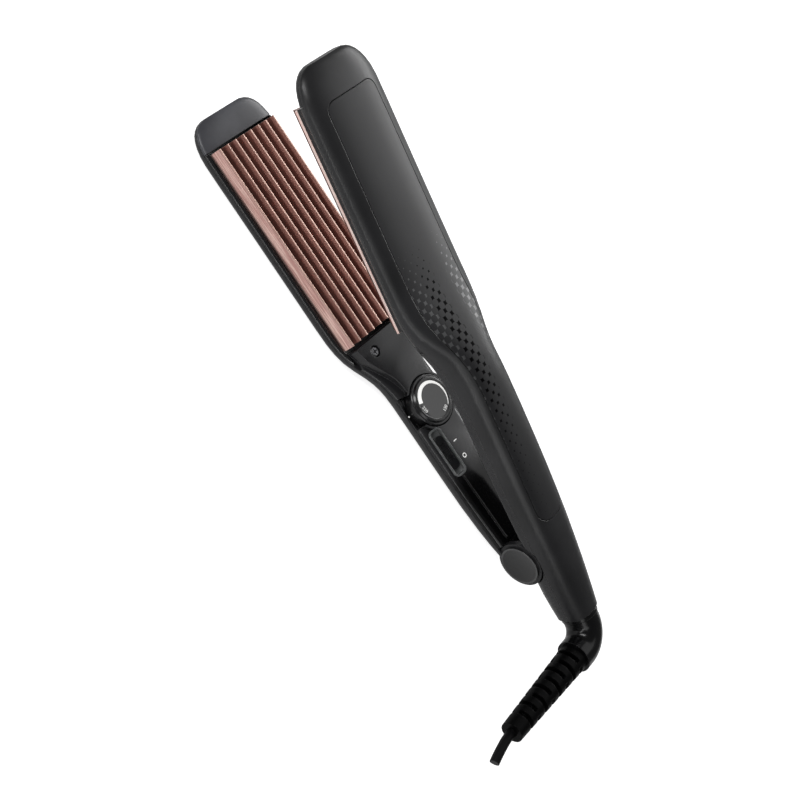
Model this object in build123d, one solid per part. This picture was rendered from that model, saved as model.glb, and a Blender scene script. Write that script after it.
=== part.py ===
from build123d import *
import math
import os

# ---------------------------------------------------------------------------
# Hair crimper: two hinged arms with meshing ridged plates, temperature dial,
# slide switch, hinge lock and swivelling mains cord.  Millimetres.
# +X runs along the lower arm from hinge to tips, +Y is the side of the dial
# notch, +Z is up.  Dimensions are measured from the centre of the hinge axis.
# The lower arm lies flat; the upper arm is modelled closed, then opened about
# the hinge.  Last, all pieces move so that the origin lies on the flat rest
# face, under the middle of the lower plate.
# ---------------------------------------------------------------------------

# ---- driving dimensions ----
OPEN_DEG = 13.3              # opening angle between the arms
PLATE_X0, PLATE_X1 = 134.1, 244.1
ORIGIN_X = (PLATE_X0 + PLATE_X1) / 2
REST_Z = -19.0               # flat rest face
BEYOND = 30.0                # reach of cutting tools past the body

# hinge
EAR_R = 12.0
EAR_Y0, EAR_Y1 = 9.5, 12.6   # inner and outer faces of the ears
KNUCKLE_R = 9.0
KNUCKLE_Y = 9.2
PIN_R = 2.5
PIN_RECESS = 1.6             # from the ear face down to the pin end
CAP_R = 10.4
CAP_T = 1.3

# walls and joints
LOW_WALL = 2.0
COVER_WALL = 1.8
LOW_COVER_INSET = 0.12
UP_COVER_INSET = 0.35
LOW_SEAM_GAP = 0.18
UP_SEAM_OVERLAP = 0.4
FRAME_GAP = 0.15             # between inner cover and plate frame
FRAME_X1 = 245.2
TIP_CAP_X0 = 245.5
TIP_CURL_X = 255.0           # the inner faces curl away beyond this station
TIP_CURL = 0.045
TIP_EXPONENT = 3.2

# screws
THREAD_R = 1.12
SCREW_HOLE_R = 1.45
HEAD_BORE_R = 2.9
LOW_SCREWS = [(126.0, 11.9), (126.0, -11.9)]
UP_SCREWS = [(128.0, 11.5), (128.0, -11.5)]
LOW_HEAD_Z = -3.3            # head seats
UP_HEAD_Z = 5.2

# control area of the lower arm
PLATFORM_X0, PLATFORM_X1 = 12.0, 132.0
PLATFORM_Z = -1.0
DIAL_X = 90.3
DIAL_R = 12.0
DIAL_RECESS_R = 13.3
DIAL_TOP_Z = 0.4
WELL_FLOOR_Z = -6.5
SHAFT_R = 2.0
SHAFT_TOP_Z = -3.4
POT_TOP_Z = -8.1
BOARD_Z0, BOARD_Z1 = -11.6, -10.0

SWITCH_X0, SWITCH_X1 = 52.4, 79.0
SWITCH_MID_X = (SWITCH_X0 + SWITCH_X1) / 2
SWITCH_Y, SWITCH_Z = 9.2, -1.75
SWITCH_TILT = 15.0
BAY_HALF_L = (SWITCH_X1 - SWITCH_X0) / 2
BAY_HALF_W = 3.8
SLIDER_X = 65.5
SLIDER_L = 18.0
SLIDER_X0 = SLIDER_X - SWITCH_MID_X - SLIDER_L / 2   # in the switch frame

# crimp plates
PLATE_HALF_W = 21.5
RIDGES = 8
RIDGE_PITCH = 5.53
RIDGE_H = 4.1
RIDGE_FLAT = 0.28            # half-width of the flats at crest and valley
LOW_CREST_Z = -3.1
LOW_BASE_Z = LOW_CREST_Z - RIDGE_H
MESH_GAP = 0.35              # between the meshed ridges, closed
UP_VALLEY_Z = LOW_CREST_Z + MESH_GAP
UP_CREST_Z = LOW_BASE_Z + MESH_GAP
UP_EDGE_Z = -1.2             # relieved outer edge of the upper plate
LOW_BACK_Z = LOW_BASE_Z - 2.0
UP_BACK_Z = 0.2
HEATER_T = 2.0
INSULATOR_T = 0.4
CLIP_T = 0.5

# upper arm and cord
UP_WALL = 2.4
UP_ROOF = 2.6
PANEL_T = 1.3
PANEL_GAP = 0.32
PANEL_X0, PANEL_X1 = 20.5, 242.2
TAIL_X = -36.0
SWIVEL_Z = 10.5
BUSH_R = 7.2
BUSH_X1 = TAIL_X + 6.0
ELBOW_X = -52.5
ELBOW_R = 9.0
BEND_R = 11.0
CONTACT_R = 2.0
BOOT_Y0, BOOT_Y1 = 13.0, 73.0
ELBOW_END_Y = BOOT_Y0 + 3.0  # the tapered boot starts here
BOOT_R0, BOOT_R1 = 7.7, 5.7
BOOT_SLOTS = 8
BOOT_PLUG_R = 6.0
CORD_R = 2.45
CORD_Y0 = 8.0


def curve(points):
    """Monotone cubic through (x, value) points, constant beyond the ends."""
    xs = [p[0] for p in points]
    values = [p[1] for p in points]
    count = len(xs)
    secants = [(values[i + 1] - values[i]) / (xs[i + 1] - xs[i]) for i in range(count - 1)]
    slopes = [secants[0]] + [0.0] * (count - 2) + [secants[-1]]
    for i in range(1, count - 1):
        before, after = secants[i - 1], secants[i]
        if before * after > 0:
            h0, h1 = xs[i] - xs[i - 1], xs[i + 1] - xs[i]
            w1, w2 = 2 * h1 + h0, h1 + 2 * h0
            slopes[i] = (w1 + w2) / (w1 / before + w2 / after)

    def value_at(x):
        if x <= xs[0]:
            return values[0]
        if x >= xs[-1]:
            return values[-1]
        i = 0
        while x > xs[i + 1]:
            i += 1
        h = xs[i + 1] - xs[i]
        t = (x - xs[i]) / h
        return ((2 * t**3 - 3 * t**2 + 1) * values[i]
                + (t**3 - 2 * t**2 + t) * h * slopes[i]
                + (-2 * t**3 + 3 * t**2) * values[i + 1]
                + (t**3 - t**2) * h * slopes[i + 1])
    return value_at


# ---- measured curves: (x, value) ----
# plan half-width; the middle is common to both arms
MIDDLE_HALF_W = [
    (6, 13.2), (14, 13.8), (26, 14.3), (42, 14.7), (60, 14.8), (98, 14.8), (104, 15.0),
    (108, 15.4), (112, 16.2), (117, 18.0), (123, 20.7), (129, 22.9), (134, 24.0), (140, 24.7),
    (146, 24.9), (160, 24.8), (200, 24.5), (240, 24.3)]
LOW_HALF_W = curve([(-4, 12.3), (0, 12.3)] + MIDDLE_HALF_W + [
    (246, 23.9), (250, 23.1), (253.5, 21.9), (256, 20.3), (258, 18.0), (259.2, 15.4),
    (259.6, 13.6)])
UP_HALF_W = curve([(-36, 9.9), (-28, 10.8), (-20, 11.5), (-12, 12.1), (0, 12.8)]
                  + MIDDLE_HALF_W + [
    (246, 23.7), (250, 22.6), (253.5, 21.0), (256, 19.1), (258, 16.6), (259.2, 14.0),
    (259.6, 12.2)])
PANEL_HALF_W = curve([
    (15, 9.2), (28, 9.3), (60, 9.7), (90, 9.8), (100, 10.0), (104, 10.3), (110, 11.1),
    (118, 12.9), (125, 14.9), (131, 16.2), (138, 17.0), (150, 17.3), (200, 17.0), (245, 16.6)])
PLATFORM_HALF_W = curve([
    (12, 8.6), (60, 9.4), (90, 9.6), (103, 9.9), (109, 11.2), (114, 13.3), (120, 17.0),
    (126, 19.8), (132, 21.2)])

# heights (z) of the lower arm: seam, underside, top of the inner cover
LOW_SEAM = curve([
    (0, -6.4), (95, -6.4), (103, -6.9), (112, -7.8), (122, -9.0), (132, -9.9), (142, -10.4),
    (240, -10.4), (250, -10.4), (259.6, -10.6)])
LOW_BOTTOM = curve([
    (0, -12.6), (5, -13.8), (12, -15.4), (22, -17.0), (36, -18.0), (50, -18.2), (100, -18.2),
    (114, -18.7), (130, -19.4), (240, -19.4), (248, -18.9), (253, -17.7), (256.5, -16.4),
    (258.6, -14.9), (259.6, -13.4)])
LOW_TOP = curve([
    (0, -1.9), (98, -1.9), (104, -2.9), (110, -4.2), (118, -5.2), (126, -5.9), (134, -7.3),
    (260, -7.4)])

# heights (z) of the upper arm: seam, crown, inner face
UP_SEAM = curve([
    (-36, 11.4), (-20, 11.8), (0, 12.3), (20, 12.2), (72, 12.1), (84, 11.8), (94, 11.1),
    (103, 9.9), (110, 9.0), (118, 8.2), (126, 7.7), (134, 7.3), (150, 7.2), (240, 6.9),
    (259.6, 6.9)])
UP_CROWN = curve([
    (-36, 20.0), (-20, 20.9), (0, 21.9), (20, 22.5), (40, 22.9), (60, 23.1), (96, 23.1),
    (104, 22.7), (111, 21.9), (118, 20.6), (125, 18.8), (132, 16.9), (140, 15.2), (150, 14.3),
    (240, 13.8), (247, 13.3), (252, 12.3), (256, 11.0), (258.4, 9.8), (259.6, 8.8)])
UP_INNER = curve([
    (-36, 1.0), (-20, 0.4), (-12, 0.8), (0, 3.2), (14, 5.2), (30, 5.6), (80, 5.5), (92, 4.9),
    (100, 4.0), (108, 3.2), (115, 2.6), (122, 2.2), (130, 2.1), (260, 2.1)])

# super-ellipse exponents
LOW_SHELL_EXP = curve([(0, 2.1), (104, 2.1), (118, 2.3), (135, 2.7), (245, 2.7), (259.6, 2.5)])
LOW_COVER_EXP = curve([(12, 2.8), (98, 2.8), (112, 3.2), (130, 3.4), (135, 3.2), (260, 3.2)])
UP_SHELL_EXP = curve([(-36, 2.3), (0, 2.6), (90, 2.8), (110, 2.7), (135, 2.5), (260, 2.5)])
UP_COVER_EXP = curve([
    (-36, 3.0), (-20, 3.4), (0, 4.2), (20, 6.0), (60, 7.0), (104, 7.0), (118, 5.0), (130, 3.6),
    (235, 3.6), (250, 4.2), (260, 4.2)])

# loft stations (x)
MIDDLE_XS = [90, 98, 104, 108, 112, 117, 123, 129, 135, 141, 150, 170, 200, 230, 241, 246, 250]
TIP_XS = [253, 255.5, 257.4, 258.7, 259.6]
LOW_XS = [24, 38, 54, 72] + MIDDLE_XS
LOW_COVER_XS = [12] + LOW_XS + TIP_XS
UP_XS = [-36, -28, -20, -10, 0, 8, 16, 26, 40, 56, 74] + MIDDLE_XS + TIP_XS
TIP_CAVITY_XS = [240, 246, 250, 253, 255.5, 257.4]


def tip_curl(x):
    return max(x - TIP_CURL_X, 0) ** 2 * TIP_CURL


def low_cover_face(x):
    return LOW_TOP(x) if x < TIP_CAP_X0 else -7.6 - tip_curl(x)


def up_cover_face(x):
    return UP_INNER(x) if x < 130 else 2.2 + tip_curl(x)


# each skin: half-width, seam height, face height, exponent, all functions of x
LOW_SHELL = (LOW_HALF_W, LOW_SEAM, LOW_BOTTOM, LOW_SHELL_EXP)
LOW_COVER = (lambda x: LOW_HALF_W(x) - LOW_COVER_INSET,
             lambda x: LOW_SEAM(x) + LOW_SEAM_GAP, low_cover_face, LOW_COVER_EXP)
UP_SHELL = (UP_HALF_W, UP_SEAM, UP_CROWN, UP_SHELL_EXP)
UP_COVER = (lambda x: UP_HALF_W(x) - UP_COVER_INSET,
            lambda x: UP_SEAM(x) - UP_SEAM_OVERLAP, up_cover_face, UP_COVER_EXP)


# ---- shape helpers ----
def section(x, half_w, seam_z, face_z, exponent, skirt):
    """Half super-ellipse wire from seam to face, closed skirt past the seam."""
    depth = abs(face_z - seam_z)
    side = 1.0 if face_z > seam_z else -1.0
    points = []
    for i in range(15):
        t = math.pi * i / 14
        c, s = math.cos(t), math.sin(t)
        y = half_w * math.copysign(abs(c) ** (2.0 / exponent), c)
        points.append(Vector(x, y, seam_z + side * depth * abs(s) ** (2.0 / exponent)))
    points[0] = Vector(x, half_w, seam_z)
    points[-1] = Vector(x, -half_w, seam_z)
    edges = [Edge.make_spline(points)]
    if skirt:
        z = seam_z - side * skirt
        edges.append(Edge.make_line(points[-1], Vector(x, -half_w, z)))
        edges.append(Edge.make_line(Vector(x, -half_w, z), Vector(x, half_w, z)))
        edges.append(Edge.make_line(Vector(x, half_w, z), points[0]))
    else:
        edges.append(Edge.make_line(points[-1], points[0]))
    return Face(Wire(edges)).outer_wire()


def loft(stations, skin, inset=0.0, face_shift=0.0, skirt=0.0):
    """Ruled loft of a skin, optionally narrowed and with its face moved in z."""
    half_w, seam, face, exponent = skin
    return Solid.make_loft(
        [section(x, half_w(x) - inset, seam(x), face(x) + face_shift, exponent(x), skirt)
         for x in stations], True)


def box(x0, x1, y0, y1, z0, z1):
    return Solid.make_box(x1 - x0, y1 - y0, z1 - z0, Plane((x0, y0, z0)))


def slab(x0, x1, half_w, z0, z1):
    """Box centred on y = 0."""
    return box(x0, x1, -half_w, half_w, z0, z1)


def cyl_z(x, y, z0, z1, r):
    return Solid.make_cylinder(r, z1 - z0, Plane((x, y, z0)))


def cyl_y(x, z, y0, y1, r):
    plane = Plane(origin=(x, y0, z), x_dir=(1, 0, 0), z_dir=(0, 1, 0))
    return Solid.make_cylinder(r, y1 - y0, plane)


def cyl_x(y, z, x0, x1, r):
    plane = Plane(origin=(x0, y, z), x_dir=(0, 1, 0), z_dir=(1, 0, 0))
    return Solid.make_cylinder(r, x1 - x0, plane)


def hinge_cyl(half_l, r):
    """Cylinder on the hinge axis, centred on y = 0."""
    return cyl_y(0, 0, -half_l, half_l, r)


def side_cyl(side, near, far, r):
    """Cylinder on the hinge axis, on one side (+1 or -1) only."""
    y0, y1 = sorted((side * near, side * far))
    return cyl_y(0, 0, y0, y1, r)


def swivel_cyl(x0, x1, r):
    return cyl_x(0, SWIVEL_Z, x0, x1, r)


def cord_cyl(y0, y1, r):
    return cyl_y(ELBOW_X, SWIVEL_Z, y0, y1, r)


def prism_xy(points, z0, z1):
    wire = Wire.make_polygon([Vector(x, y, z0) for x, y in points], close=True)
    return Solid.extrude(Face(wire), Vector(0, 0, z1 - z0))


def prism_yz(points, x0, x1):
    wire = Wire.make_polygon([Vector(x0, y, z) for y, z in points], close=True)
    return Solid.extrude(Face(wire), Vector(x1 - x0, 0, 0))


def prism_xz(points, y0, y1):
    wire = Wire.make_polygon([Vector(x, y0, z) for x, z in points], close=True)
    return Solid.extrude(Face(wire), Vector(0, y1 - y0, 0))


def outline_prism(half_w, x0, x1, z0, z1, rear_r, front_r, grow=0.0):
    """Prism over the plan outline +-half_w(x) with rounded end corners."""
    step = 6.0
    xa, xb = x0 - grow, x1 + grow
    wa, wb = half_w(x0) + grow, half_w(x1) + grow
    ra, rb = rear_r + grow, front_r + grow
    angles = [math.pi / 2 * i / 6 for i in range(7)]
    side = [(xa + ra - ra * math.cos(t), wa - ra + ra * math.sin(t)) for t in angles]
    x = xa + ra + step
    while x < xb - front_r - step * 0.4:
        side.append((x, half_w(x) + grow))
        x += step
    side += [(xb - rb + rb * math.sin(t), wb - rb + rb * math.cos(t)) for t in angles]
    left = [Vector(x, y, z0) for x, y in side]
    right = [Vector(x, -y, z0) for x, y in side]
    wire = Wire([Edge.make_spline(left), Edge.make_line(left[-1], right[-1]),
                 Edge.make_spline(right), Edge.make_line(left[0], right[0])])
    return Solid.extrude(Face(wire), Vector(0, 0, z1 - z0))


def largest(shape):
    """Largest solid of a boolean result."""
    solids = shape.solids()
    if not solids:
        raise ValueError("empty")
    return sorted(solids, key=lambda solid: solid.volume)[-1]


def switch_box(x0, x1, half_w, z0, z1, corner_r=0.0):
    """Box in the tilted switch frame, x measured from the bay centre."""
    solid = slab(x0, x1, half_w, z0, z1)
    if corner_r > 0:
        solid = solid.fillet(corner_r, solid.edges().filter_by(Axis.Z))
    plane = Plane(origin=(SWITCH_MID_X, SWITCH_Y, SWITCH_Z)).rotated((-SWITCH_TILT, 0, 0))
    return solid.moved(plane.location)


# ---- pieces built alike in both arms ----
def frame_region(grow=0.0):
    """Plate frame space, with a leaf-shaped rear end on each side."""
    region = slab(132.2 - grow, 262, BEYOND, -BEYOND, BEYOND)
    for side in (-1, 1):
        leaf = [(132.4, BEYOND), (132.4, 21.5 - grow), (129.4, 20.9 - grow),
                (126.8, 20.1 - grow), (124.4, 19.5 - grow), (122.4 - grow, 19.6 - grow),
                (121.8 - grow, BEYOND)]
        region = region + prism_xy([(x, side * y) for x, y in leaf], -BEYOND, BEYOND)
    return region


def plate_frame(skin, cavity):
    frame = (skin - cavity) & frame_region()
    frame = frame & slab(100, FRAME_X1, BEYOND, -BEYOND, BEYOND)
    frame = frame - slab(133.2, 250, 22.1, -BEYOND, BEYOND)
    frame = frame - slab(120, 133.4, 21.6, -BEYOND, BEYOND)
    # drop the slivers left by the cuts
    return Compound(children=[s for s in frame.solids() if s.volume > 20])


def tip_cap(skin, curves, face_shift, tongue_z):
    """Front end of a cover skin, with a cross tongue behind the tip."""
    cap = skin & slab(TIP_CAP_X0, 262, BEYOND, -BEYOND, BEYOND)
    cavity_curves = (*curves[:3], lambda x: TIP_EXPONENT)
    cap = cap - loft(TIP_CAVITY_XS, cavity_curves, inset=2.2, face_shift=face_shift, skirt=3.0)
    return largest(largest(cap) + slab(247.0, 249.4, 11, *tongue_z))


def crimp_plate(edge_z, outer_z, between_z, back_z):
    """Ridged plate: RIDGES flats at outer_z, with flats at between_z between them."""
    points = [(-PLATE_HALF_W, edge_z)]
    for i in range(RIDGES):
        y = (-(RIDGES - 1) / 2 + i) * RIDGE_PITCH
        points += [(y - RIDGE_FLAT, outer_z), (y + RIDGE_FLAT, outer_z)]
        if i < RIDGES - 1:
            y += RIDGE_PITCH / 2
            points += [(y - RIDGE_FLAT, between_z), (y + RIDGE_FLAT, between_z)]
    points += [(PLATE_HALF_W, edge_z), (PLATE_HALF_W, back_z), (-PLATE_HALF_W, back_z)]
    return prism_yz(points, PLATE_X0, PLATE_X1)


def plate_carrier(body_z, pocket_z, window_z):
    """Tray behind a plate; each argument is a (z0, z1) pair."""
    tray = slab(PLATE_X0 + 0.6, PLATE_X1 + 0.4, 21.2, *body_z)
    tray = tray - slab(PLATE_X0 + 4, PLATE_X1 - 4, 17.0, *pocket_z)
    return tray - slab(PLATE_X0 + 12, PLATE_X1 - 12, 12.0, *window_z)


def heater_parts(arm, back_z, away):
    """Heater, insulator and clip stacked from the plate back in z direction away."""
    def layer(x0, x1, half_w, near, thickness):
        z0, z1 = sorted((back_z + away * near, back_z + away * (near + thickness)))
        return slab(x0, x1, half_w, z0, z1)

    clip_near = HEATER_T + INSULATOR_T
    clip = layer(158, 220, 16.8, clip_near, CLIP_T)
    for x0 in (164, 196):
        clip = clip - layer(x0, x0 + 18, 20, clip_near - 1, CLIP_T + 2)
    clip = clip + layer(158, 220, 5, clip_near, CLIP_T)
    return {
        arm + "_heater": layer(150, 228, 9.0, 0, HEATER_T),
        arm + "_heater_insulator": layer(147, 231, 11.0, HEATER_T, INSULATOR_T),
        arm + "_heater_clip": largest(clip),
    }


def screw(x, y, head_z, length):
    """Cross-slotted screw, head upwards, with its head seat at head_z."""
    shank = cyl_z(x, y, head_z - length, head_z, THREAD_R)
    head = cyl_z(x, y, head_z, head_z + 1.7, 2.5)
    head = head.fillet(0.7, head.edges().filter_by(GeomType.CIRCLE).sort_by(Axis.Z)[-1:])
    body = shank + head
    for half_x, half_y in ((1.5, 0.32), (0.32, 1.5)):
        body = body - box(x - half_x, x + half_x, y - half_y, y + half_y,
                          head_z + 0.7, head_z + 3)
    return largest(body)


# ---- lower arm ----
def lower_outer_shell():
    outer = loft([0, 6, 14] + LOW_XS + TIP_XS, LOW_SHELL)
    shell = outer - loft([-4, 6, 14] + LOW_XS + [254, 256.8], LOW_SHELL,
                         inset=LOW_WALL, face_shift=LOW_WALL, skirt=4.0)
    # hinge ears, with room for the knuckle between them
    shell = shell + hinge_cyl(EAR_Y1, EAR_R)
    shell = shell - hinge_cyl(EAR_Y0, KNUCKLE_R + 0.7)
    shell = shell - slab(-16, 0, EAR_Y0, -3.0, 16)
    shell = shell - slab(0, 14, EAR_Y0, -6.5, 16)
    shell = shell - hinge_cyl(20, PIN_R)
    for side in (-1, 1):
        shell = shell - side_cyl(side, EAR_Y1 - PIN_RECESS, EAR_Y1 + 1, 4.0)
    # screw bosses, board pillars and carrier ledges standing on the floor
    floor_z = -18.5
    stands = []
    for x, y in LOW_SCREWS:
        stands.append(cyl_z(x, y, floor_z, -8.2, 3.0) - cyl_z(x, y, -15.0, -7.0, THREAD_R))
    for x in (104.5, 44.0):
        for y in (8.0, -8.0):
            stands.append(cyl_z(x, y, floor_z, BOARD_Z0, 1.8))
    for x in (146.0, 232.0):
        for side in (-1, 1):
            y0, y1 = sorted((side * 14.5, side * 19.5))
            stands.append(box(x - 5, x + 5, y0, y1, floor_z, -14.0))
    shell = shell.fuse(*[stand & outer for stand in stands])
    for side in (-1, 1):
        shell = shell - side_cyl(side, EAR_Y1, 20, CAP_R + 0.25)
    shell = shell - slab(-20, -12.9, 20, -20, 20)
    shell = shell - slab(90, 270, BEYOND, -25, REST_Z)
    return largest(shell)


def dial_disc(z0, z1, r):
    return cyl_z(DIAL_X, 0, z0, z1, r)


def dial_well():
    """Stepped cup below the platform, bored through for the shaft."""
    well = (dial_disc(-8.0, WELL_FLOOR_Z, 14.3) & slab(60, 120, 12.4, -9, -6.3)) + \
        (dial_disc(-7.0, -3.2, 14.4)
         & (slab(60, 120, 12.4, -9, -3.2) + slab(60, 120, 15, -5.2, -3.2)))
    well = well - dial_disc(WELL_FLOOR_Z, 0, DIAL_RECESS_R)
    return well - dial_disc(-20, 5, 4.2)


def lower_inner_cover(skin, cavity):
    platform = outline_prism(PLATFORM_HALF_W, PLATFORM_X0, PLATFORM_X1, -6.6, PLATFORM_Z,
                             rear_r=3.0, front_r=1.0)
    cover = skin + platform
    cover = cover + dial_disc(-6.2, PLATFORM_Z, 14.5)
    cover = cover - cavity
    cover = cover - outline_prism(lambda x: PLATFORM_HALF_W(x) - COVER_WALL, 8.0,
                                  PLATFORM_X1 - 2.0, -9.0, PLATFORM_Z - COVER_WALL,
                                  rear_r=3.0, front_r=1.0)
    cover = cover - frame_region(FRAME_GAP)
    # dial recess with its well, and the notch towards +Y
    cover = cover - dial_disc(-20, 5, DIAL_RECESS_R)
    cover = cover + dial_well()
    cover = cover - prism_xy([(83.6, 8.0), (82.2, 18.0), (101.4, 18.0), (99.0, 8.0)], -5.4, 3)
    cover = cover - dial_disc(WELL_FLOOR_Z, 5, DIAL_RECESS_R)
    # clearance around the ears
    cover = cover - hinge_cyl(20, EAR_R + 0.5)
    cover = cover - switch_box(-BAY_HALF_L, BAY_HALF_L, BAY_HALF_W, -9, 6, 2.6)
    # counterbored screw columns
    for x, y in LOW_SCREWS:
        cover = cover + cyl_z(x, y, -8.2, PLATFORM_Z - 1.0, 4.2)
        cover = cover - cyl_z(x, y, -20, 5, SCREW_HOLE_R)
        cover = cover - cyl_z(x, y, LOW_HEAD_Z, 5, HEAD_BORE_R)
    cover = largest(cover)
    rim = [e for e in cover.edges() if abs(e.center().Z - PLATFORM_Z) < 0.01
           and abs(abs(e.center().Y) - PLATFORM_HALF_W(e.center().X)) < 1.2 and e.length > 20]
    # guards the rim fillet: if the kernel can't build it, the rim stays sharp
    try:
        cover = cover.fillet(0.5, rim)
    except Exception:
        pass
    return cover


def lower_plate_carrier():
    tray = plate_carrier((-14.0, LOW_BACK_Z), (-12.6, LOW_BACK_Z + 1), (-15, -12))
    # relief along the rounded shell walls
    for side in (-1, 1):
        corner = [(side * 21.3, -15), (side * 21.3, -12.2), (side * 19.8, -15)]
        tray = tray - prism_yz(corner, PLATE_X0, PLATE_X1 + 1)
    return largest(tray)


def plate_rod(y, x0, x1, r):
    """Rod lying along X against the underside of the lower plate."""
    return cyl_x(y, LOW_BACK_Z - r, x0, x1, r)


# ---- controls ----
def control_board():
    return slab(40, 108, 10.0, BOARD_Z0, BOARD_Z1) - dial_disc(-13, -8, 1.6)


def potentiometer():
    body = slab(DIAL_X - 6, DIAL_X + 6, 6, BOARD_Z1, POT_TOP_Z)
    return largest(body - dial_disc(-12, -5, 3.05))


def board_parts():
    return Compound(children=[
        box(68, 76, -9.5, -4.5, BOARD_Z1, -6.2),
        cyl_z(62.5, -6.5, BOARD_Z1, -5.4, 2.8),
        cyl_z(55.5, -6.5, BOARD_Z1, -5.4, 2.8),
        box(100, 105, -6, 2, BOARD_Z1, -8.4)])


def temperature_dial():
    skirt_z = DIAL_TOP_Z - 0.55
    dial = dial_disc(-6.2, skirt_z, DIAL_R + 0.75)
    dial = dial.chamfer(0.35, None,
                        dial.edges().filter_by(GeomType.CIRCLE).sort_by(Axis.Z)[-1:])
    dial = dial + Solid.make_cone(DIAL_R - 0.35, DIAL_R - 1.15, 0.75,
                                  Plane((DIAL_X, 0, skirt_z)))
    dial = dial - Solid.make_cone(9.5, 9.75, 0.2, Plane((DIAL_X, 0, DIAL_TOP_Z)))
    return largest(dial - dial_disc(-7, SHAFT_TOP_Z, SHAFT_R))


def dial_shaft():
    collar_z = -8.2
    return largest(dial_disc(collar_z, SHAFT_TOP_Z, SHAFT_R)
                   + dial_disc(BOARD_Z1, collar_z, 3.0))


def switch_bezel():
    bezel = switch_box(-BAY_HALF_L + 0.1, BAY_HALF_L - 0.1, BAY_HALF_W - 0.1, -3.6, 0.12, 2.5)
    bezel = bezel - switch_box(-BAY_HALF_L + 1.0, BAY_HALF_L - 1.0, BAY_HALF_W - 0.95,
                               -2.6, 3, 1.7)
    return largest(bezel - switch_box(-8.0 + (SLIDER_X - SWITCH_MID_X), 8.5, 1.0, -5, 0))


def power_slider():
    knob = switch_box(SLIDER_X0, SLIDER_X0 + SLIDER_L, 2.35, -2.5, -0.75, 1.5)
    for i in range(9):
        groove_x = SLIDER_X0 + 4.6 + i * 1.1
        knob = knob - switch_box(groove_x, groove_x + 0.45, 1.7, -1.1, 0)
    return largest(knob + switch_box(SLIDER_X0 + 5.2, SLIDER_X0 + 8.2, 0.8, -5.0, -2.5))


def slide_switch():
    body = switch_box(SLIDER_X0 - 1.5, SLIDER_X0 + 16.5, 2.8, -8.0, -4.0)
    body = body - switch_box(SLIDER_X0 + 1.8, SLIDER_X0 + 8.6, 1.0, -5.4, -3)
    # trimmed flat on the board
    return largest(body & slab(30, 100, 20, BOARD_Z1, 2))


# ---- hinge ----
def hinge_cap(side):
    """Disc with a shallow spherical dish outside and a spigot into the ear."""
    dish_r = 60.0
    dish_y = side * (EAR_Y1 + CAP_T - 0.95 + dish_r)
    cap = side_cyl(side, EAR_Y1, EAR_Y1 + CAP_T, CAP_R)
    cap = cap - Solid.make_sphere(dish_r, Plane((0, dish_y, 0)),
                                  angle1=-90, angle2=90, angle3=360)
    return largest(cap + side_cyl(side, EAR_Y1 - 1.55, EAR_Y1, 3.97))


def hinge_spring():
    """Coil round the pin."""
    half_l = 3.5
    helix = Edge.make_helix(pitch=1.55, height=2 * half_l, radius=4.6,
                            center=(0, -half_l, 0), normal=(0, 1, 0))
    wire_end = Wire.make_circle(0.62, Plane(origin=helix @ 0, z_dir=helix % 0))
    # guards the helical sweep: a plain sleeve stands in if it can't be built
    try:
        return Solid.sweep(section=Face(wire_end), path=helix)
    except Exception:
        return hinge_cyl(half_l, 5.2) - hinge_cyl(4, 4.0)


# ---- upper arm, closed position ----
def panel_prism(grow=0.0):
    return outline_prism(PANEL_HALF_W, PANEL_X0, PANEL_X1, 8.0, 30.0,
                         rear_r=6.5, front_r=5.0, grow=grow)


def upper_outer_shell(outer, under_panel):
    shell = outer - loft([-37.5] + UP_XS[1:-4] + [256.4], UP_SHELL,
                         inset=UP_WALL, face_shift=-UP_ROOF, skirt=3.0)
    # recess for the decor panel
    shell = shell - ((outer & panel_prism(PANEL_GAP)) - under_panel)
    shell = shell - hinge_cyl(20, EAR_R + 0.6)
    # screw bosses hanging from the roof
    for x, y in UP_SCREWS:
        shell = shell + ((cyl_z(x, y, 8.0, 17.0, 3.0) & under_panel)
                         - cyl_z(x, y, 7, 12.6, THREAD_R))
    return largest(shell - swivel_cyl(TAIL_X - 2, BUSH_X1, BUSH_R))


def upper_inner_cover(skin, cavity):
    cover = skin - cavity
    cover = cover - frame_region(FRAME_GAP)
    # ear clearance on both sides, knuckle in the middle
    for side in (-1, 1):
        cover = cover - side_cyl(side, KNUCKLE_Y, 20, EAR_R + 0.6)
    web = [(-8.9, 1.0), (-8.9, 9.0), (9.5, 9.0), (8.9, 1.0)]
    cover = cover + hinge_cyl(KNUCKLE_Y, KNUCKLE_R) + prism_xz(web, -KNUCKLE_Y, KNUCKLE_Y)
    cover = cover - hinge_cyl(20, PIN_R + 0.05)
    # spring chamber, open upwards
    cover = cover - hinge_cyl(4.6, 6.2)
    cover = cover - slab(-3.2, 3.2, 4.6, 0, 30)
    # counterbored screw columns
    column_z = 8.0
    for x, y in UP_SCREWS:
        cover = cover + (cyl_z(x, y, UP_INNER(x) + 0.5, column_z, 4.0)
                         & (skin + slab(100, 130, BEYOND, 6, column_z)))
        cover = cover - cyl_z(x, y, -5, 12, SCREW_HOLE_R)
        cover = cover - cyl_z(x, y, -5, UP_HEAD_Z, HEAD_BORE_R)
    cover = cover - swivel_cyl(TAIL_X - 2, BUSH_X1, BUSH_R)
    # slot for the hinge-lock slider in the tail
    return largest(cover - slab(-29.1, -20.0, 2.1, -3, 6))


def upper_cover_screw(x, y):
    """Screw turned head down."""
    turned = screw(x, y, 0, 7.0).rotate(Axis((x, y, 0), (1, 0, 0)), 180)
    return turned.moved(Location((0, 0, UP_HEAD_Z)))


def lock_slider():
    return slab(-28.8, -25.0, 2.05, -0.9, 3.6) + slab(-28.8, -25.0, 2.9, 3.0, 3.7)


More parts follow.
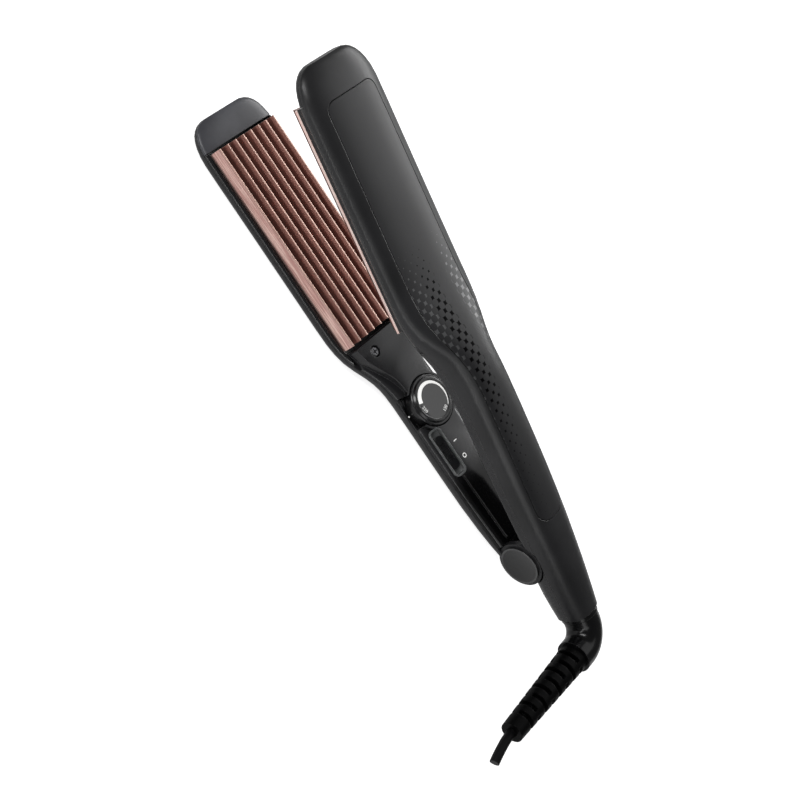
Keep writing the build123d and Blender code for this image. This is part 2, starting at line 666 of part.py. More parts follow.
# ---- swivel and cord ----
def swivel_bush():
    return swivel_cyl(TAIL_X, BUSH_X1, BUSH_R) - swivel_cyl(TAIL_X - 1, TAIL_X + 8, 5.06)


def contact_block():
    return largest(slab(-27.5, -17.0, 5.6, 6.0, 15.0)
                   - swivel_cyl(-28, -20.5, CONTACT_R + 0.05))


def cord_elbow():
    """Elbow turning from the arm axis to +Y, with a journal in the bush."""
    start = Vector(TAIL_X - 0.5, 0, SWIVEL_Z)
    bend_start = Vector(ELBOW_X + BEND_R, 0, SWIVEL_Z)
    bend_mid = Vector(ELBOW_X + BEND_R - BEND_R * math.sin(math.pi / 4),
                      BEND_R - BEND_R * math.cos(math.pi / 4), SWIVEL_Z)
    bend_end = Vector(ELBOW_X, BEND_R, SWIVEL_Z)
    path = Wire([Edge.make_line(start, bend_start),
                 Edge.make_three_point_arc(bend_start, bend_mid, bend_end),
                 Edge.make_line(bend_end, Vector(ELBOW_X, ELBOW_END_Y, SWIVEL_Z))])
    profile = Wire.make_circle(ELBOW_R, Plane(origin=start, z_dir=(-1, 0, 0)))
    elbow = Solid.sweep(Face(profile), path=path)
    # collar, journal and retaining flange
    elbow = elbow + swivel_cyl(TAIL_X - 2.3, TAIL_X - 0.4, 9.45)
    elbow = elbow + swivel_cyl(TAIL_X - 0.6, TAIL_X + 6.2, 5.0)
    elbow = elbow + swivel_cyl(TAIL_X + 6.1, TAIL_X + 7.1, 6.0)
    # bores for the contacts, the cord and the boot plug
    elbow = elbow - swivel_cyl(ELBOW_X + 2, TAIL_X + 9, CONTACT_R)
    elbow = elbow - cord_cyl(-1.5, BOOT_Y0 + 4, CORD_R + 0.1)
    elbow = elbow - cord_cyl(BOOT_Y0 - 1.0, BOOT_Y0 + 4, BOOT_PLUG_R + 0.05)
    return largest(elbow)


def bend_relief():
    """Tapered boot with ring slots; their bridges alternate in direction."""
    length = BOOT_Y1 - ELBOW_END_Y
    slot_pitch = (length - 8.0) / BOOT_SLOTS
    slot_w = 2.6
    bridge_half_w = 1.5
    plane = Plane(origin=(ELBOW_X, ELBOW_END_Y, SWIVEL_Z), x_dir=(1, 0, 0), z_dir=(0, 1, 0))
    boot = Solid.make_cone(BOOT_R0, BOOT_R1, length, plane)
    for i in range(BOOT_SLOTS):
        y0 = ELBOW_END_Y + 1.2 + i * slot_pitch
        y1 = y0 + slot_pitch + slot_w
        slot_y = y0 + slot_pitch * 0.5
        boot_r = BOOT_R0 + (BOOT_R1 - BOOT_R0) * (y0 - ELBOW_END_Y) / length
        ring = cord_cyl(slot_y, slot_y + slot_w, boot_r + 2) - cord_cyl(y0, y1, CORD_R + 1.35)
        half_x, half_z = (bridge_half_w, 12) if i % 2 == 0 else (12, bridge_half_w)
        bridge = box(ELBOW_X - half_x, ELBOW_X + half_x, y0, y1,
                     SWIVEL_Z - half_z, SWIVEL_Z + half_z)
        boot = boot - (ring - bridge)
    boot = boot + cord_cyl(BOOT_Y0 - 1.0, ELBOW_END_Y, BOOT_PLUG_R)
    return largest(boot - cord_cyl(BOOT_Y0 - 4, BOOT_Y1 + 4, CORD_R + 0.05))


def power_cord():
    """Straight through the boot, then a short free end drifting towards -X."""
    start = Vector(ELBOW_X, CORD_Y0, SWIVEL_Z)
    # free end: x from the boot axis, y from the boot end
    free_end = [Vector(ELBOW_X + x, BOOT_Y1 + y, SWIVEL_Z)
                for x, y in ((0, -1.0), (-0.1, 4.0), (-1.2, 10.0), (-3.4, 17.5))]
    path = Wire([Edge.make_line(start, free_end[0]),
                 Edge.make_spline(free_end,
                                  tangents=[Vector(0, 1, 0), Vector(-0.34, 0.94, 0)])])
    profile = Wire.make_circle(CORD_R, Plane(origin=start, z_dir=(0, 1, 0)))
    return Solid.sweep(Face(profile), path=path)


# ---- assembly ----
low_skin = loft(LOW_COVER_XS, LOW_COVER)
low_cavity = loft([8] + LOW_COVER_XS[:-3], LOW_COVER,
                  inset=COVER_WALL, face_shift=-COVER_WALL, skirt=3.0)
up_outer = loft(UP_XS, UP_SHELL)
up_under_panel = loft(UP_XS[4:-5], UP_SHELL, inset=PANEL_T, face_shift=-PANEL_T)
up_skin = loft(UP_XS, UP_COVER)
up_cavity = loft([-37.5] + UP_XS[1:-3], UP_COVER,
                 inset=COVER_WALL, face_shift=COVER_WALL, skirt=3.0)

parts = {
    "lower_outer_shell": lower_outer_shell(),
    "lower_inner_cover": lower_inner_cover(low_skin, low_cavity),
    "lower_plate_frame": plate_frame(low_skin, low_cavity),
    "lower_tip_cap": tip_cap(low_skin, LOW_COVER, -2.0, (-15.2, -9.0)),
    "lower_crimp_plate": crimp_plate(LOW_BASE_Z, LOW_CREST_Z, LOW_BASE_Z, LOW_BACK_Z),
    "lower_plate_carrier": lower_plate_carrier(),
    **heater_parts("lower", LOW_BACK_Z, away=-1),
    "thermistor": plate_rod(13.0, 186, 191, 1.1),
    "thermal_fuse": plate_rod(-13.0, 183, 193, 1.15),
    "control_board": control_board(),
    "potentiometer": potentiometer(),
    "board_parts": board_parts(),
    "temperature_dial": temperature_dial(),
    "dial_shaft": dial_shaft(),
    "switch_bezel": switch_bezel(),
    "power_slider": power_slider(),
    "slide_switch": slide_switch(),
    "cover_screws": Compound(children=[screw(x, y, LOW_HEAD_Z, 10.5) for x, y in LOW_SCREWS]),
    "hinge_pin": hinge_cyl(EAR_Y1 - PIN_RECESS, PIN_R),
    "hinge_caps": Compound(children=[hinge_cap(side) for side in (-1, 1)]),
    "hinge_spring": hinge_spring(),
}

# everything that turns with the upper arm
opening_parts = {
    "upper_decor_panel": largest((up_outer & panel_prism()) - up_under_panel),
    "upper_outer_shell": upper_outer_shell(up_outer, up_under_panel),
    "upper_inner_cover": upper_inner_cover(up_skin, up_cavity),
    "upper_plate_frame": plate_frame(up_skin, up_cavity),
    "upper_tip_cap": tip_cap(up_skin, UP_COVER, 2.0, (4.0, 9.8)),
    "upper_crimp_plate": crimp_plate(UP_EDGE_Z, UP_VALLEY_Z, UP_CREST_Z, UP_BACK_Z),
    "upper_plate_carrier": largest(
        plate_carrier((UP_BACK_Z, 5.8), (UP_BACK_Z - 1, 4.6), (3, 8))),
    **heater_parts("upper", UP_BACK_Z, away=1),
    "upper_cover_screws": Compound(children=[upper_cover_screw(x, y) for x, y in UP_SCREWS]),
    "swivel_bush": swivel_bush(),
    "contact_block": contact_block(),
    "cord_elbow": cord_elbow(),
    "swivel_contacts": swivel_cyl(TAIL_X + 2.0, TAIL_X + 14.0, CONTACT_R),
    "bend_relief": bend_relief(),
    "power_cord": power_cord(),
    "lock_slider": lock_slider(),
}
for name, shape in opening_parts.items():
    parts[name] = shape.rotate(Axis.Y, -OPEN_DEG)

os.makedirs("parts", exist_ok=True)
for name, shape in parts.items():
    shape = shape.moved(Location((-ORIGIN_X, 0, -REST_Z)))
    shape.label = name
    export_step(shape, "parts/" + name + ".step")
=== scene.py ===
# A two-armed hair crimper: black shells, rose ridged plates, a temperature dial and a cord.
# The arms run along +X from the hinge axis, which lies parallel to Y. The upper arm stands
# open by OPEN_ANGLE, and the device rests just above the floor with Z up.
import math
import random

import bmesh
import bpy
from mathutils import Matrix, Vector


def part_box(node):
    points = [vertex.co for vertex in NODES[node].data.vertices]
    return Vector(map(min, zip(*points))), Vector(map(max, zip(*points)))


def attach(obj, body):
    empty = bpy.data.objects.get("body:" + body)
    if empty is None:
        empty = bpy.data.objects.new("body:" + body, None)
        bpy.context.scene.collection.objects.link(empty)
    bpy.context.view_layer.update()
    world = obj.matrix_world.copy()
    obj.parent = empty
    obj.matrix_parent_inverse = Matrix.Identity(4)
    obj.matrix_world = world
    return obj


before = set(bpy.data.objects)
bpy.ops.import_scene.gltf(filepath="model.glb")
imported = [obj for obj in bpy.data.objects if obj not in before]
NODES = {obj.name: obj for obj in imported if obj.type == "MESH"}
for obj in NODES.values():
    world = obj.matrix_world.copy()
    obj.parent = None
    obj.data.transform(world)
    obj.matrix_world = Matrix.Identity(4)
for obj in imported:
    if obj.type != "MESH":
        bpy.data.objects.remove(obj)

random.seed(7)
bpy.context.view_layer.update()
scene = bpy.context.scene

OPEN_ANGLE = math.radians(13.3)
HINGE_X, HINGE_Z = -0.1891, 0.0190     # hinge axis in the shared frame
DIAL_X = 0.0903                        # dial centre, measured from the hinge axis
SPREAD = (0.3, 0.7)                    # part of a noise's range stretched to full contrast


def from_hinge(x, y, z):
    """a place measured from the hinge axis, in the shared frame"""
    return Vector((x + HINGE_X, y, z + HINGE_Z))


# ---------------------------------------------------------------- shader writing
class Shader:
    """a material on one Principled node, with coordinates measured from the hinge axis"""

    SOCKETS = {"color": "Base Color", "rough": "Roughness", "metal": "Metallic",
               "normal": "Normal", "coat": "Coat Weight", "coat_rough": "Coat Roughness",
               "spec": "Specular IOR Level"}

    def __init__(self, name):
        self.material = bpy.data.materials.new(name)
        self.material.use_nodes = True
        self.nodes = self.material.node_tree.nodes
        self.link = self.material.node_tree.links.new
        self.nodes.clear()
        self.output = self.node("ShaderNodeOutputMaterial")
        self.surface = self.node("ShaderNodeBsdfPrincipled")
        self.link(self.surface.outputs[0], self.output.inputs[0])
        source = self.node("ShaderNodeTexCoord").outputs["Object"]
        self.coords = self.mapped(source, "Location", (-HINGE_X, 0.0, -HINGE_Z))

    def node(self, kind, **settings):
        node = self.nodes.new(kind)
        for key, value in settings.items():
            setattr(node, key, value)
        return node

    def put(self, socket, value):
        """link a socket, or set a plain value"""
        if hasattr(value, "is_output"):
            self.link(value, socket)
        else:
            socket.default_value = value

    def mapped(self, coords, change, amount):
        node = self.node("ShaderNodeMapping")
        self.link(coords, node.inputs["Vector"])
        node.inputs[change].default_value = amount
        return node.outputs[0]

    def stretched(self, scale, coords=None):
        return self.mapped(coords or self.coords, "Scale", scale)

    def along_arm(self, angle):
        """coordinates along an arm opened by angle, as drawn closed"""
        return self.mapped(self.coords, "Rotation", (0, angle, 0))

    def xyz(self, coords=None):
        node = self.node("ShaderNodeSeparateXYZ")
        self.link(coords or self.coords, node.inputs[0])
        return node.outputs

    def calc(self, operation, a, b=0.0, clamp=False):
        node = self.node("ShaderNodeMath", operation=operation, use_clamp=clamp)
        for socket, value in zip(node.inputs, (a, b, 0.0)):
            self.put(socket, value)
        return node.outputs[0]

    def times(self, a, by, clamp=False):
        return self.calc("MULTIPLY", a, by, clamp)

    def plus(self, a, b, clamp=False):
        return self.calc("ADD", a, b, clamp)

    def minus(self, a, b):
        return self.calc("SUBTRACT", a, b)

    def hypot(self, a, b):
        return self.calc("SQRT", self.plus(self.times(a, a), self.times(b, b)))

    def ramp(self, value, span, to=(0.0, 1.0), kind="SMOOTHSTEP"):
        """carry the range span over to the range to"""
        node = self.node("ShaderNodeMapRange", interpolation_type=kind)
        for socket, item in zip(node.inputs, (value, *span, *to)):
            self.put(socket, item)
        return node.outputs[0]

    def noise(self, scale, detail, coords=None):
        node = self.node("ShaderNodeTexNoise")
        self.link(coords or self.coords, node.inputs["Vector"])
        node.inputs["Scale"].default_value = scale
        node.inputs["Detail"].default_value = detail
        return node.outputs[0]

    def mix(self, factor, low, high):
        node = self.node("ShaderNodeMix", data_type="RGBA")
        self.put(node.inputs[0], factor)
        self.put(node.inputs[6], low)
        self.put(node.inputs[7], high)
        return node.outputs[2]

    def mottle(self, noise, low, high):
        return self.mix(self.ramp(noise, SPREAD), low, high)

    def edge(self, radius):
        """a mask, 0 on flats and rising to 1 on rounded-over edges, and the rounded normal"""
        bevel = self.node("ShaderNodeBevel", samples=6)
        bevel.inputs[0].default_value = radius
        geometry = self.node("ShaderNodeNewGeometry")
        dot = self.node("ShaderNodeVectorMath", operation="DOT_PRODUCT")
        self.link(bevel.outputs[0], dot.inputs[0])
        self.link(geometry.outputs["Normal"], dot.inputs[1])
        turn = self.minus(1.0, dot.outputs["Value"])
        return self.ramp(turn, span=(0.02, 0.25)), bevel.outputs[0]

    def bump(self, height, strength, normal, distance=0.00002):
        node = self.node("ShaderNodeBump")
        node.inputs["Strength"].default_value = strength
        node.inputs["Distance"].default_value = distance
        self.put(node.inputs["Height"], height)
        self.link(normal, node.inputs["Normal"])
        return node.outputs[0]

    def set(self, **values):
        for key, value in values.items():
            self.put(self.surface.inputs[self.SOCKETS[key]], value)


def rgba(color, gain=1.0, lift=0.0):
    return [min(1.0, channel * gain + lift) for channel in color] + [1.0]


def plastic(name, color, rough, grain=0.10, grain_size=2600.0, bevel=0.0004, coat=0.0,
            wear_and_highlight=0.05, vary=0.25, edge_rough=0.12, spec=0.5, groove_z=None):
    """grained plastic: vary clouds the colour; the edge lightening is partly real scuffing and
    partly a painted edge highlight, wear_and_highlight setting its amount; edge_rough is how much
    smoother the edges are"""
    tree = Shader(name)
    edge, normal = tree.edge(bevel)
    cloud = tree.noise(scale=38.0, detail=4.0)
    fine = tree.noise(scale=grain_size, detail=2.0)
    patches = tree.noise(scale=420.0, detail=3.0)
    clouded = tree.mottle(cloud, rgba(color, gain=1 - vary), rgba(color, gain=1 + vary))
    scuff_and_highlight = tree.times(edge, tree.ramp(patches, span=(0.42, 0.62)), clamp=True)
    # the scuffed edges are lightened, partly as real scuffing and partly as a painted edge
    # highlight
    shade = tree.mix(tree.times(scuff_and_highlight, by=0.8), clouded, rgba(color, lift=wear_and_highlight))
    if groove_z is not None:
        # painted shade: edges above groove_z, and those nearer the hinge, are painted near black
        # as shade in the groove and seams
        x, _, z = tree.xyz(tree.along_arm(OPEN_ANGLE))
        painted_groove_shade = tree.calc("MAXIMUM", tree.ramp(z, span=(groove_z, groove_z + 0.001)),
                          tree.ramp(x, span=(0.112, 0.100)))
        shade = tree.mix(tree.times(painted_groove_shade, edge), shade, high=(0.0015, 0.0015, 0.0015, 1))
    swing = 0.012                      # roughness change between patches
    uneven = tree.ramp(patches, SPREAD, to=(rough - swing, rough + swing))
    tree.set(color=shade, rough=tree.plus(uneven, tree.times(edge, by=-edge_rough), clamp=True),
             coat=coat, coat_rough=0.08, spec=spec,
             normal=tree.bump(fine, strength=grain, normal=normal))
    return tree.material


def metal(name, color, rough, brush=(1, 1, 1)):
    """metal with spotted colour and fine lines, brush being their stretch per axis"""
    tree = Shader(name)
    edge, normal = tree.edge(radius=0.0003)
    lines = tree.noise(scale=900.0, detail=2.0, coords=tree.stretched(brush))
    spots = tree.noise(scale=120.0, detail=4.0)
    shade = tree.mottle(spots, rgba(color, gain=0.82), rgba(color))
    tree.set(color=tree.mix(edge, shade, rgba(color, gain=1.25)), metal=1.0,
             rough=tree.ramp(lines, SPREAD, to=(rough - 0.06, rough + 0.08)),
             normal=tree.bump(lines, strength=0.25, normal=normal))
    return tree.material


def rose_plate(name, angle, crest_z, root_z, painted_side_highlights):
    """metallic rose coat: darker in the valleys as painted shade, with painted highlights on
    crests, upper slopes and side faces, brushed along the ridges; the last argument gives the two
    lighter side colours, painted as highlights"""
    tree = Shader(name)
    edge, normal = tree.edge(radius=0.00022)
    coords = tree.along_arm(angle)
    _, y, z = tree.xyz(coords)
    height = tree.ramp(z, span=(root_z, crest_z), kind="LINEAR")
    # painted highlight: the side faces are coloured lighter
    side = tree.ramp(tree.calc("ABSOLUTE", y), span=(0.0192, 0.0204))
    brush = tree.noise(scale=1500.0, detail=2.0, coords=tree.stretched((0.03, 1, 1), coords))
    facet = tree.noise(scale=2600.0, detail=1.0, coords=tree.stretched((0.02, 1, 1), coords))
    cloud = tree.noise(scale=60.0, detail=4.0)
    speck = tree.noise(scale=5200.0, detail=1.0)
    # the dark base colour stays in the valleys as painted shade
    shade = tree.mottle(cloud, low=(0.20, 0.083, 0.066, 1), high=(0.25, 0.108, 0.086, 1))
    # painted highlight on the upper slopes
    painted_slope_highlight = tree.times(tree.ramp(height, span=(0.45, 0.95)), by=0.45)
    shade = tree.mix(painted_slope_highlight, shade, high=(0.42, 0.22, 0.18, 1))
    shade = tree.mix(side, shade, tree.mix(tree.ramp(facet, span=(0.42, 0.60)), *painted_side_highlights))
    flecks = tree.times(tree.ramp(speck, span=(0.58, 0.72)), by=0.4)
    shade = tree.mix(flecks, shade, high=(0.52, 0.30, 0.25, 1))
    # painted highlight along the crests and on raised edges
    crest = tree.ramp(height, span=(0.955, 0.985))
    painted_raised_edge_highlight = tree.times(edge, tree.ramp(height, span=(0.3, 0.6)))
    painted_crest_highlight = tree.calc("MAXIMUM", crest, painted_raised_edge_highlight)
    shade = tree.mix(painted_crest_highlight, shade, high=(0.78, 0.53, 0.45, 1))
    rough = tree.minus(tree.ramp(brush, SPREAD, to=(0.30, 0.40)), tree.times(edge, by=0.08))
    tree.set(color=shade, metal=0.80, rough=rough,
             normal=tree.bump(tree.plus(brush, speck), strength=0.15, normal=normal))
    return tree.material


def lower_cover_material():
    """satin control face turning glossy towards the hinge and down inside the dial well, painted
    near black there as shade and dark reflection
    """
    tree = Shader("cover_lower")
    edge, normal = tree.edge(radius=0.00035)
    x, y, z = tree.xyz()
    radius = tree.hypot(tree.minus(x, DIAL_X), y)
    # painted shade down inside the dial well
    well = tree.times(tree.ramp(radius, span=(0.01495, 0.01485)),
                      tree.ramp(z, span=(-0.0011, -0.0013)))
    # painted dark reflection of the upper arm towards the hinge
    painted_rear_reflection = tree.ramp(x, span=(0.062, 0.044))
    dark = tree.calc("MAXIMUM", well, painted_rear_reflection)
    fine = tree.noise(scale=2600.0, detail=2.0)
    cloud = tree.noise(scale=38.0, detail=4.0)
    shade = tree.mottle(cloud, low=(0.0115, 0.0115, 0.0125, 1), high=(0.0155, 0.0155, 0.0168, 1))
    # painted shade and reflection: near black within the two masks above
    shade = tree.mix(dark, shade, high=(0.0022, 0.0022, 0.0024, 1))
    # painted highlight: edges are painted lighter, except near the -Y side
    painted_edge_highlight = tree.times(edge, tree.ramp(y, span=(-0.010, -0.006), to=(-0.1, 0.7)))
    shade = tree.mix(tree.calc("MAXIMUM", painted_edge_highlight, 0.0), shade, high=(0.075, 0.075, 0.078, 1))
    rough = tree.minus(tree.ramp(dark, span=(0.0, 1.0), to=(0.27, 0.13)),
                       tree.times(painted_edge_highlight, by=0.12))
    tree.set(color=shade, rough=rough, spec=tree.ramp(dark, span=(0.0, 1.0), to=(0.48, 0.30)),
             normal=tree.bump(fine, strength=0.05, normal=normal))
    return tree.material


def star_panel():
    """matte panel with a lattice of four-point stars that swell and shrink along its length"""
    pitch_x, pitch_y = 0.00548, 0.00512
    origin_x, origin_y = 0.16234, 0.00983        # centre of one star
    tree = Shader("panel_stars")
    edge, normal = tree.edge(radius=0.00042)
    fine = tree.noise(scale=3000.0, detail=2.0)
    cloud = tree.noise(scale=30.0, detail=4.0)
    x, y, _ = tree.xyz(tree.along_arm(OPEN_ANGLE))
    column = tree.calc("DIVIDE", tree.minus(x, origin_x), pitch_x)
    row = tree.calc("DIVIDE", tree.minus(y, origin_y), pitch_y)
    diagonals = tree.plus(column, row), tree.minus(column, row)

    def from_whole(value):
        """distance to the nearest whole number"""
        part = tree.calc("FRACT", tree.plus(value, 0.5))
        return tree.calc("ABSOLUTE", tree.minus(part, 0.5))

    offsets = [from_whole(diagonal) for diagonal in diagonals]
    # near-astroid distance from the centre of the cell
    distance = tree.plus(*[tree.calc("POWER", offset, 0.72) for offset in offsets])
    size = tree.times(tree.ramp(x, span=(0.181, 0.134)),
                      tree.ramp(x, span=(0.022, 0.125), to=(0.30, 1.0)))
    limit = tree.times(size, by=0.56)
    star = tree.ramp(tree.minus(distance, limit), span=(0.03, -0.03))
    base = tree.mottle(cloud, low=(0.010, 0.010, 0.0112, 1), high=(0.0135, 0.0135, 0.0148, 1))
    # painted reflections: the stars are painted black along the middle and pale along both sides,
    # as dark and bright reflections
    off_middle = tree.calc("ABSOLUTE", tree.minus(y, 0.0048))
    black = tree.times(tree.ramp(off_middle, span=(0.0056, 0.0036)),
                       tree.ramp(x, span=(0.030, 0.095), to=(0.45, 1.0)))
    pale = tree.calc("MAXIMUM", tree.ramp(y, span=(0.0085, 0.0105)),
                     tree.ramp(y, span=(-0.0080, -0.0100)))
    star_shade = tree.mix(black, base, high=(0.0008, 0.0008, 0.001, 1))
    star_shade = tree.mix(pale, star_shade, high=(0.052, 0.053, 0.055, 1))
    shade = tree.mix(star, base, star_shade)
    # painted shade: the panel's edges are painted near black, as shade in the groove around it
    shade = tree.mix(tree.times(edge, by=0.9), shade, high=(0.002, 0.002, 0.002, 1))
    shine = tree.times(star, tree.minus(pale, black))
    rough = tree.plus(tree.times(shine, by=-0.04), tree.ramp(fine, SPREAD, to=(0.38, 0.44)))
    height = tree.plus(tree.times(fine, by=0.25), tree.times(star, by=-1.0))
    spec = tree.ramp(shine, span=(-1.0, 1.0), to=(0.03, 0.79), kind="LINEAR")
    tree.set(color=shade, rough=rough, spec=spec,
             normal=tree.bump(height, strength=0.22, normal=normal, distance=0.00003))
    return tree.material


def disc_material():
    """hinge disc: flat, glossy, with a painted highlight on its rim and edges"""
    tree = Shader("hinge_disc")
    edge, normal = tree.edge(radius=0.0004)
    x, _, z = tree.xyz()
    radius = tree.hypot(x, z)
    cloud = tree.noise(scale=80.0, detail=3.0)
    fine = tree.noise(scale=2600.0, detail=1.0)
    shade = tree.mottle(cloud, low=(0.010, 0.010, 0.0105, 1), high=(0.014, 0.014, 0.0145, 1))
    # painted highlight: a ring at the rim and the edges are painted lighter
    rim = tree.times(tree.ramp(radius, span=(0.0092, 0.0097)),
                     tree.ramp(radius, span=(0.0104, 0.0101)))
    light = tree.calc("MAXIMUM", tree.times(rim, by=0.5), tree.times(edge, by=0.7))
    tree.set(color=tree.mix(light, shade, high=(0.10, 0.10, 0.103, 1)), rough=0.20, coat=0.3,
             normal=tree.bump(fine, strength=0.03, normal=normal))
    return tree.material


def dial_material():
    """dial: glossy centre, duller outside it, with painted highlights on its edges"""
    rim_start = (0.0094, 0.0098)       # radii over which the gloss gives way
    tree = Shader("dial_gloss")
    edge, normal = tree.edge(radius=0.0003)
    x, y, _ = tree.xyz()
    radius = tree.hypot(tree.minus(x, DIAL_X), y)
    fine = tree.noise(scale=2600.0, detail=1.0, coords=tree.stretched((0.4, 0.4, 0.4)))
    cloud = tree.noise(scale=90.0, detail=3.0)
    shade = tree.mottle(cloud, low=(0.006, 0.006, 0.0065, 1), high=(0.009, 0.009, 0.0095, 1))
    # painted highlight on the edges
    shade = tree.mix(tree.times(edge, by=0.8), shade, high=(0.30, 0.30, 0.31, 1))
    outside = tree.ramp(radius, rim_start)
    rough = tree.plus(tree.times(outside, by=0.16), tree.ramp(fine, SPREAD, to=(0.05, 0.08)))
    tree.set(color=shade, rough=rough, coat=tree.ramp(radius, rim_start, to=(0.9, 0.1)),
             normal=tree.bump(fine, strength=0.02, normal=normal))
    return tree.material


# ---------------------------------------------------------------- materials on the parts
def assign(material, *parts):
    for part in parts:
        slots = NODES[part].data.materials
        slots.clear()
        slots.append(material)


SHELL = dict(color=(0.014, 0.014, 0.0152), rough=0.37, grain=0.14, grain_size=3200.0, spec=0.42)
assign(plastic("shell_matte", **SHELL), "lower_outer_shell")
assign(plastic("shell_matte_upper", **SHELL, groove_z=0.0085), "upper_outer_shell")
assign(plastic("cover_satin", (0.012, 0.012, 0.0132), rough=0.27, grain=0.05, spec=0.45),
       "upper_inner_cover")
assign(plastic("gloss_black", (0.006, 0.006, 0.0065), rough=0.10, grain=0.02, coat=0.5,
               wear_and_highlight=0.02, edge_rough=0.03),
       "lower_plate_frame", "upper_plate_frame")
assign(plastic("tip_satin", (0.056, 0.057, 0.065), rough=0.36), "lower_tip_cap")
assign(plastic("tip_matte", (0.014, 0.014, 0.0155), rough=0.38, grain=0.12, spec=0.42),
       "upper_tip_cap")
assign(plastic("elbow_satin", (0.0026, 0.0026, 0.0029), rough=0.20, grain=0.03, wear_and_highlight=0.01,
               spec=0.34),
       "cord_elbow")
assign(plastic("boot_rubber", (0.0012, 0.0012, 0.0013), rough=0.38, grain=0.22,
               grain_size=1400.0, bevel=0.0005, wear_and_highlight=0.004, spec=0.07),
       "bend_relief")
assign(plastic("cord_rubber", (0.0036, 0.0036, 0.0038), rough=0.42, grain=0.3,
               grain_size=1800.0, wear_and_highlight=0.006, spec=0.14),
       "power_cord")
assign(plastic("carrier_black", (0.012, 0.012, 0.013), rough=0.55, grain=0.3),
       "lower_plate_carrier", "upper_plate_carrier", "swivel_bush")
assign(plastic("slider_satin", (0.010, 0.010, 0.011), rough=0.34, grain=0.25, grain_size=2200.0),
       "power_slider", "lock_slider")
assign(plastic("bezel_smoke", (0.13, 0.135, 0.136), rough=0.18, grain=0.03, coat=0.4, wear_and_highlight=0.25),
       "switch_bezel")
ink = plastic("print_white", (0.82, 0.82, 0.80), rough=0.45, grain=0.15, wear_and_highlight=0.0, vary=0.04)
# painted glow: the white print emits light of its own though it is no lamp
ink_inputs = ink.node_tree.nodes["Principled BSDF"].inputs
ink_inputs["Emission Color"].default_value = (1.0, 1.0, 0.98, 1.0)
ink_inputs["Emission Strength"].default_value = 0.40      # legible in the low studio light
assign(metal("steel", (0.62, 0.62, 0.64), rough=0.30, brush=(1, 12, 1)),
       "lower_heater_clip", "upper_heater_clip", "hinge_pin", "hinge_spring", "thermal_fuse")
assign(metal("screw_black", (0.20, 0.20, 0.21), rough=0.38), "cover_screws", "upper_cover_screws")
assign(metal("brass", (0.78, 0.56, 0.26), rough=0.25), "dial_shaft", "swivel_contacts")
assign(plastic("ceramic", (0.78, 0.77, 0.74), rough=0.6, grain=0.2, wear_and_highlight=0.0, vary=0.05),
       "lower_heater", "upper_heater")
assign(plastic("amber_film", (0.55, 0.26, 0.05), rough=0.18, grain=0.05, wear_and_highlight=0.0),
       "lower_heater_insulator", "upper_heater_insulator")
assign(plastic("board_green", (0.02, 0.16, 0.06), rough=0.3, grain=0.2), "control_board")
assign(plastic("parts_dark", (0.08, 0.08, 0.09), rough=0.4), "board_parts", "slide_switch")
assign(plastic("pot_blue", (0.03, 0.10, 0.30), rough=0.35), "potentiometer")
assign(plastic("block_white", (0.7, 0.7, 0.66), rough=0.5, wear_and_highlight=0.0),
       "contact_block", "thermistor")
assign(lower_cover_material(), "lower_inner_cover")
assign(rose_plate("rose_lower", angle=0.0, crest_z=-0.0031, root_z=-0.0072,
                  painted_side_highlights=[(0.64, 0.36, 0.32, 1), (0.95, 0.67, 0.59, 1)]),
       "lower_crimp_plate")
assign(rose_plate("rose_upper", angle=OPEN_ANGLE, crest_z=-0.00685, root_z=-0.00275,
                  painted_side_highlights=[(0.95, 0.66, 0.60, 1), (1.0, 0.86, 0.80, 1)]),
       "upper_crimp_plate")
assign(star_panel(), "upper_decor_panel")
assign(disc_material(), "hinge_caps")
assign(dial_material(), "temperature_dial")


# ---------------------------------------------------------------- smooth shading
def smooth_group():
    """smooth across the joins of curved CAD faces, sharp at real edges"""
    group = bpy.data.node_groups.new("smooth_faces", "GeometryNodeTree")
    for direction in ("INPUT", "OUTPUT"):
        group.interface.new_socket("Geometry", in_out=direction, socket_type="NodeSocketGeometry")
    new, link = group.nodes.new, group.links.new
    source = new("NodeGroupInput")
    result = new("NodeGroupOutput")
    merge = new("GeometryNodeMergeByDistance")
    merge.inputs["Distance"].default_value = 2e-6
    remove = new("GeometryNodeRemoveAttribute")
    remove.inputs["Name"].default_value = "custom_normal"
    angle = new("GeometryNodeInputMeshEdgeAngle")
    shallow = new("FunctionNodeCompare")
    shallow.operation = "LESS_THAN"
    shallow.inputs[1].default_value = math.radians(26)
    smooth_faces = new("GeometryNodeSetShadeSmooth")
    smooth_faces.domain = "FACE"
    smooth_edges = new("GeometryNodeSetShadeSmooth")
    smooth_edges.domain = "EDGE"
    link(source.outputs[0], merge.inputs["Geometry"])
    link(merge.outputs[0], remove.inputs[0])
    link(remove.outputs[0], smooth_faces.inputs["Geometry"])
    link(angle.outputs["Unsigned Angle"], shallow.inputs[0])
    link(smooth_faces.outputs[0], smooth_edges.inputs["Geometry"])
    link(shallow.outputs[0], smooth_edges.inputs["Shade Smooth"])
    link(smooth_edges.outputs[0], result.inputs[0])
    return group


smoothing = smooth_group()
for part in NODES.values():
    part.modifiers.new("smooth_faces", "NODES").node_group = smoothing


# ---------------------------------------------------------------- printed pieces
def add_print(name, mesh, body):
    piece = bpy.data.objects.new(name, mesh)
    scene.collection.objects.link(piece)
    mesh.materials.clear()
    mesh.materials.append(ink)
    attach(piece, body)


def mesh_print(name, verts, faces, body):
    mesh = bpy.data.meshes.new(name)
    mesh.from_pydata(verts, [], faces)
    mesh.update()
    add_print(name, mesh, body)


